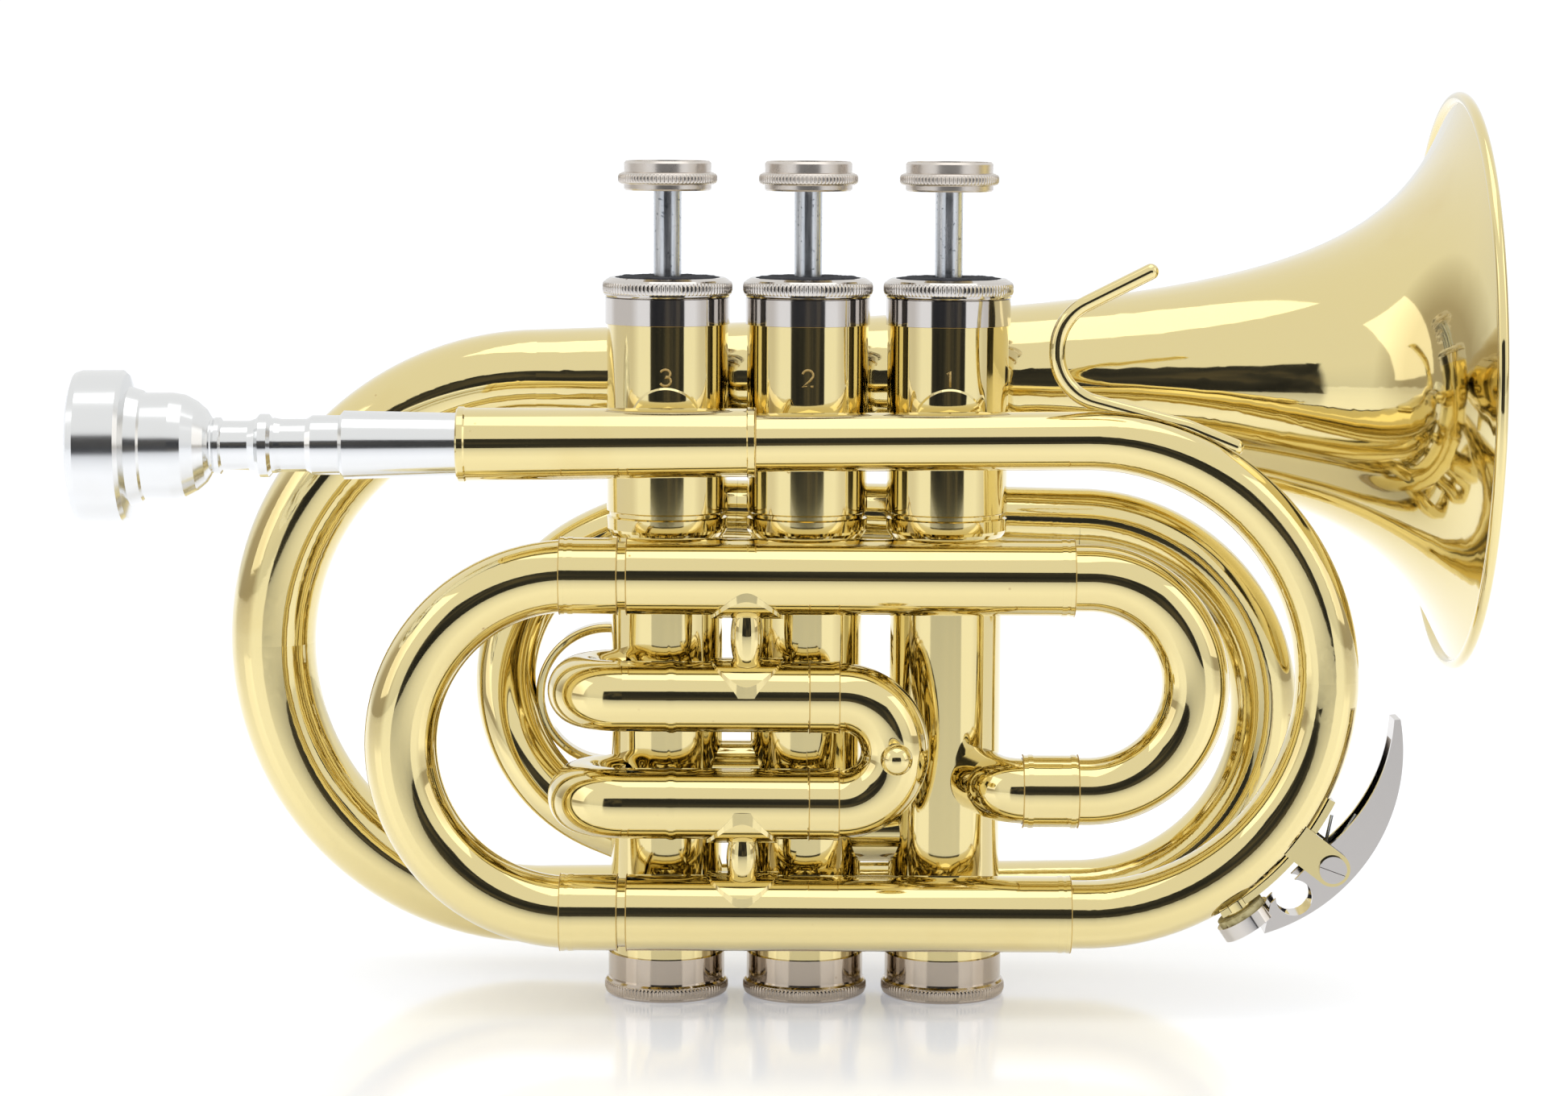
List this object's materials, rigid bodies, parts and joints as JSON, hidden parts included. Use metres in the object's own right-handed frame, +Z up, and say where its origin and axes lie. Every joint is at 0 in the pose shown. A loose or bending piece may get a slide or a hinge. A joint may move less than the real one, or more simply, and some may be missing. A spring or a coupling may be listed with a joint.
{
  "type": "pocket cornet",
  "caption": "Wrapped brass cornet with piston valves, a tapered bell coil, pull-out tuning slides, a removable mouthpiece and a sprung water key.",
  "frame": {"origin": "axis of the middle valve on the plane that the bottom caps stand on", "axes": "+X towards the bell mouth, +Z up along the valves, leadpipe side faces -Y"},
  "size_m": [0.2477, 0.1093, 0.1626],
  "materials": {
    "lacquered_brass": "clear lacquer over polished brass",
    "nickel_plate": "bright nickel plate",
    "silver_plate": "bright silver plate",
    "stem_steel": "satin, lightly marked",
    "piston_metal": "lapped",
    "spring_steel": "drawn wire",
    "dark_felt": "pressed wool felt",
    "white_plastic": "moulded",
    "pearl": "polished shell",
    "cork": "natural cork"
  },
  "bodies": {
    "root": {"bell": "lacquered_brass", "bell_bend": "lacquered_brass", "bottom_cap_1": "nickel_plate", "bottom_cap_2": "nickel_plate", "bottom_cap_3": "nickel_plate", "cap_felts": "dark_felt", "casing_1": "lacquered_brass", "casing_2": "lacquered_brass", "casing_3": "lacquered_brass", "casing_knuckles": "lacquered_brass", "casing_sleeves": "nickel_plate", "coil": "lacquered_brass", "coil_loop": "lacquered_brass", "coil_lower_run": "lacquered_brass", "coil_upper_run": "lacquered_brass", "d_bend": "lacquered_brass", "d_bend_ferrule": "lacquered_brass", "elbow": "lacquered_brass", "finger_hook": "lacquered_brass", "finger_ring": "lacquered_brass", "front_slide_tubes": "lacquered_brass", "leadpipe": "lacquered_brass", "long_slide_tubes": "lacquered_brass", "main_tubes": "lacquered_brass", "mouthpiece_receiver": "lacquered_brass", "short_slide_tubes": "lacquered_brass", "slide_posts": "lacquered_brass", "solder_posts": "lacquered_brass", "top_cap_1": "nickel_plate", "top_cap_2": "nickel_plate", "top_cap_3": "nickel_plate", "valve_guides": "white_plastic", "valve_spring_1": "spring_steel", "valve_spring_2": "spring_steel", "valve_spring_3": "spring_steel", "water_key_saddle": "lacquered_brass", "water_key_screw": "nickel_plate", "water_key_spring": "spring_steel"},
    "mouthpiece": {"mouthpiece": "silver_plate"},
    "tuning_slide_body": {"tuning_slide": "lacquered_brass", "tuning_slide_ferrules": "lacquered_brass"},
    "front_slide_body": {"front_slide_crook": "lacquered_brass", "front_slide_ferrules": "lacquered_brass", "front_slide_knob": "lacquered_brass"},
    "short_slide_body": {"short_slide_crook": "lacquered_brass"},
    "long_slide_body": {"long_slide_crook": "lacquered_brass"},
    "water_key_body": {"water_key_lever": "nickel_plate", "water_key_cork": "cork"},
    "valve_1": {"piston_1": "piston_metal", "stem_1": "stem_steel", "finger_button_1": "nickel_plate", "button_pearl_1": "pearl"},
    "valve_2": {"piston_2": "piston_metal", "stem_2": "stem_steel", "finger_button_2": "nickel_plate", "button_pearl_2": "pearl"},
    "valve_3": {"piston_3": "piston_metal", "stem_3": "stem_steel", "finger_button_3": "nickel_plate", "button_pearl_3": "pearl"}
  },
  "joints": [
    {"name": "valve_1_press", "type": "slide", "parent": "root", "child": "valve_1", "axis": [0, 0, -1], "range_m": [0, 0.0148], "stiffness_N_per_m": 90, "springref_m": -0.02, "deforming": ["valve_spring_1"]},
    {"name": "valve_2_press", "type": "slide", "parent": "root", "child": "valve_2", "axis": [0, 0, -1], "range_m": [0, 0.0148], "stiffness_N_per_m": 90, "springref_m": -0.02, "deforming": ["valve_spring_2"]},
    {"name": "valve_3_press", "type": "slide", "parent": "root", "child": "valve_3", "axis": [0, 0, -1], "range_m": [0, 0.0148], "stiffness_N_per_m": 90, "springref_m": -0.02, "deforming": ["valve_spring_3"]},
    {"name": "mouthpiece_pull", "type": "slide", "parent": "root", "child": "mouthpiece", "axis": [-0.9999, 0, -0.0105], "range_m": [0, 0.024]},
    {"name": "tuning_slide_pull", "type": "slide", "parent": "root", "child": "tuning_slide_body", "axis": [-1, 0, 0], "range_m": [0, 0.03]},
    {"name": "front_slide_pull", "type": "slide", "parent": "root", "child": "front_slide_body", "axis": [1, 0, 0], "range_m": [0, 0.004]},
    {"name": "short_slide_pull", "type": "slide", "parent": "root", "child": "short_slide_body", "axis": [0, 1, 0], "range_m": [0, 0.01]},
    {"name": "long_slide_pull", "type": "slide", "parent": "root", "child": "long_slide_body", "axis": [-1, 0, 0], "range_m": [0, 0.01]},
    {"name": "water_key_press", "type": "hinge", "parent": "root", "child": "water_key_body", "pos_m": [0.0922, -0.019, 0.0273], "axis": [0, -1, 0], "range_deg": [0, 12], "stiffness_Nm_per_rad": 0.05, "springref_deg": -28.65, "deforming": ["water_key_spring"]}
  ]
}
